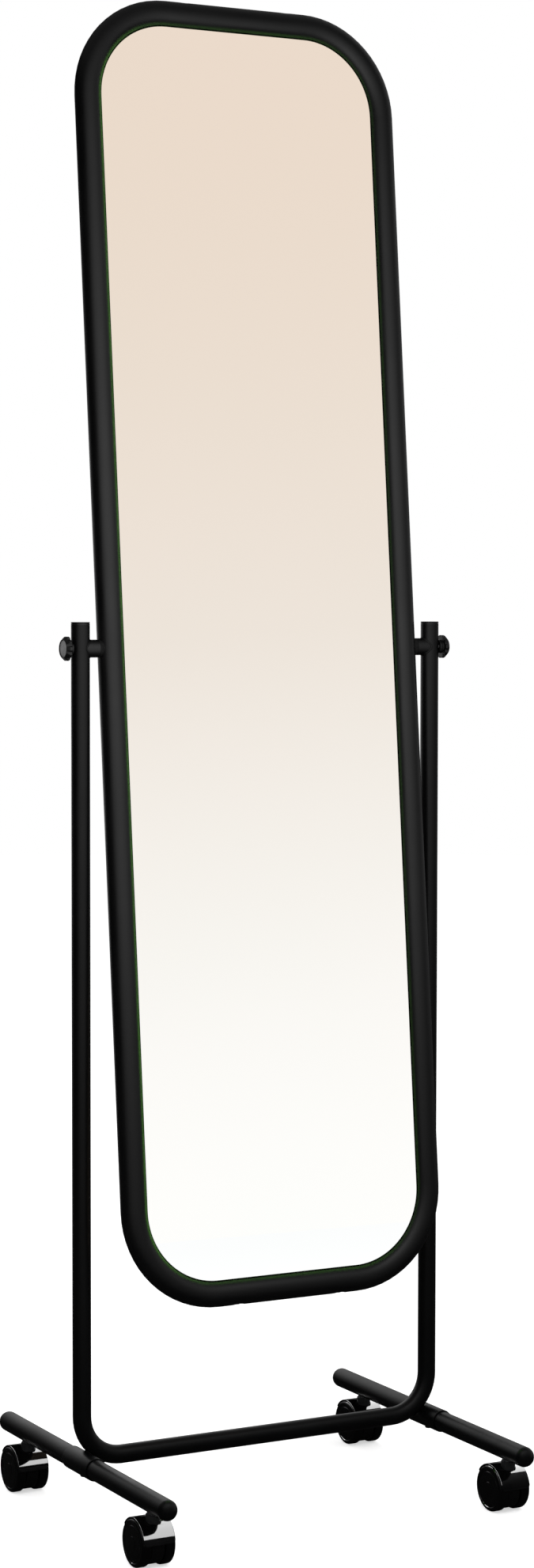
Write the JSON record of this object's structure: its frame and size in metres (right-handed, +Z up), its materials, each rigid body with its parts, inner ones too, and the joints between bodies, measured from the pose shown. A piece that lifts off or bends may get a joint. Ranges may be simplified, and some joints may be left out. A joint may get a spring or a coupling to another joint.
{
  "type": "rolling floor mirror",
  "caption": "Full-length mirror in a round-tube frame that tilts between two posts of a U-shaped tube stand on swivel casters.",
  "frame": {"origin": "on the floor, under the middle of the feet", "axes": "+X to the right as seen from in front of the glass, -Y is the side that the glass faces, +Z up"},
  "size_m": [0.471, 0.419, 1.6351],
  "materials": {
    "black_tube": "semi-gloss deep black powder coat on steel tube",
    "black_moulding": "satin black moulded plastic",
    "gloss_moulding": "polished black moulded plastic",
    "grey_cap": "satin mid-grey plastic disc",
    "black_steel": "black-coated steel hardware",
    "zinc_steel": "zinc-plated steel",
    "black_rubber": "matt black rubber",
    "silvered_glass": "flat silvered glass, 4 mm",
    "fibreboard": "plain brown hardboard, 5 mm"
  },
  "bodies": {
    "stand": {"u_tube": "black_tube", "sleeve_screws": "black_steel", "caster_bosses": "zinc_steel", "sleeve_left": "black_tube", "sleeve_right": "black_tube", "foot_tube_left": "black_tube", "foot_tube_right": "black_tube", "foot_cap_left_front": "black_moulding", "foot_cap_left_rear": "black_moulding", "foot_cap_right_front": "black_moulding", "foot_cap_right_rear": "black_moulding", "post_cap_left": "black_moulding", "post_cap_right": "black_moulding", "pivot_stub_left": "black_tube", "pivot_stub_right": "black_tube", "caster_stem_left_front": "black_steel", "caster_stem_left_rear": "black_steel", "caster_stem_right_front": "black_steel", "caster_stem_right_rear": "black_steel"},
    "mirror": {"frame_left": "black_tube", "frame_right": "black_tube", "frame_plug_top": "black_moulding", "frame_plug_bottom": "black_moulding", "frame_screws": "black_steel", "pivot_insert_left": "zinc_steel", "pivot_insert_right": "zinc_steel", "saddle_washer_left": "black_rubber", "saddle_washer_right": "black_rubber", "mirror_glass": "silvered_glass", "backing_board": "fibreboard", "board_tabs": "black_tube", "board_screws": "zinc_steel"},
    "clamp knob left": {"knob_left": "black_moulding", "knob_bolt_left": "zinc_steel", "knob_cap_left": "grey_cap"},
    "clamp knob right": {"knob_right": "black_moulding", "knob_bolt_right": "zinc_steel", "knob_cap_right": "grey_cap"},
    "caster left_front": {"caster_hood_left_front": "gloss_moulding", "caster_axle_left_front": "zinc_steel"},
    "wheel left_front_outer": {"caster_wheel_left_front_outer": "black_moulding"},
    "wheel left_front_inner": {"caster_wheel_left_front_inner": "black_moulding"},
    "caster left_rear": {"caster_hood_left_rear": "gloss_moulding", "caster_axle_left_rear": "zinc_steel"},
    "wheel left_rear_outer": {"caster_wheel_left_rear_outer": "black_moulding"},
    "wheel left_rear_inner": {"caster_wheel_left_rear_inner": "black_moulding"},
    "caster right_front": {"caster_hood_right_front": "gloss_moulding", "caster_axle_right_front": "zinc_steel"},
    "wheel right_front_outer": {"caster_wheel_right_front_outer": "black_moulding"},
    "wheel right_front_inner": {"caster_wheel_right_front_inner": "black_moulding"},
    "caster right_rear": {"caster_hood_right_rear": "gloss_moulding", "caster_axle_right_rear": "zinc_steel"},
    "wheel right_rear_outer": {"caster_wheel_right_rear_outer": "black_moulding"},
    "wheel right_rear_inner": {"caster_wheel_right_rear_inner": "black_moulding"}
  },
  "joints": [
    {"name": "mirror_tilt", "type": "hinge", "parent": "stand", "child": "mirror", "pos_m": [0, 0.005, 0.938], "axis": [1, 0, 0], "continuous": true},
    {"name": "knob_turn_left", "type": "hinge", "parent": "stand", "child": "clamp knob left", "pos_m": [-0.2279, 0.005, 0.938], "axis": [-1, 0, 0], "range_deg": [0, 360]},
    {"name": "knob_turn_right", "type": "hinge", "parent": "stand", "child": "clamp knob right", "pos_m": [0.2279, 0.005, 0.938], "axis": [1, 0, 0], "range_deg": [0, 360]},
    {"name": "caster_swivel_left_front", "type": "hinge", "parent": "stand", "child": "caster left_front", "pos_m": [-0.215, -0.167, 0.046], "axis": [0, 0, 1], "continuous": true},
    {"name": "wheel_spin_left_front_outer", "type": "hinge", "parent": "caster left_front", "child": "wheel left_front_outer", "pos_m": [-0.215, -0.157, 0.025], "axis": [1, 0, 0], "continuous": true},
    {"name": "wheel_spin_left_front_inner", "type": "hinge", "parent": "caster left_front", "child": "wheel left_front_inner", "pos_m": [-0.215, -0.157, 0.025], "axis": [1, 0, 0], "continuous": true},
    {"name": "caster_swivel_left_rear", "type": "hinge", "parent": "stand", "child": "caster left_rear", "pos_m": [-0.215, 0.147, 0.046], "axis": [0, 0, 1], "continuous": true},
    {"name": "wheel_spin_left_rear_outer", "type": "hinge", "parent": "caster left_rear", "child": "wheel left_rear_outer", "pos_m": [-0.215, 0.157, 0.025], "axis": [1, 0, 0], "continuous": true},
    {"name": "wheel_spin_left_rear_inner", "type": "hinge", "parent": "caster left_rear", "child": "wheel left_rear_inner", "pos_m": [-0.215, 0.157, 0.025], "axis": [1, 0, 0], "continuous": true},
    {"name": "caster_swivel_right_front", "type": "hinge", "parent": "stand", "child": "caster right_front", "pos_m": [0.215, -0.167, 0.046], "axis": [0, 0, 1], "continuous": true},
    {"name": "wheel_spin_right_front_outer", "type": "hinge", "parent": "caster right_front", "child": "wheel right_front_outer", "pos_m": [0.215, -0.157, 0.025], "axis": [1, 0, 0], "continuous": true},
    {"name": "wheel_spin_right_front_inner", "type": "hinge", "parent": "caster right_front", "child": "wheel right_front_inner", "pos_m": [0.215, -0.157, 0.025], "axis": [1, 0, 0], "continuous": true},
    {"name": "caster_swivel_right_rear", "type": "hinge", "parent": "stand", "child": "caster right_rear", "pos_m": [0.215, 0.147, 0.046], "axis": [0, 0, 1], "continuous": true},
    {"name": "wheel_spin_right_rear_outer", "type": "hinge", "parent": "caster right_rear", "child": "wheel right_rear_outer", "pos_m": [0.215, 0.157, 0.025], "axis": [1, 0, 0], "continuous": true},
    {"name": "wheel_spin_right_rear_inner", "type": "hinge", "parent": "caster right_rear", "child": "wheel right_rear_inner", "pos_m": [0.215, 0.157, 0.025], "axis": [1, 0, 0], "continuous": true}
  ]
}
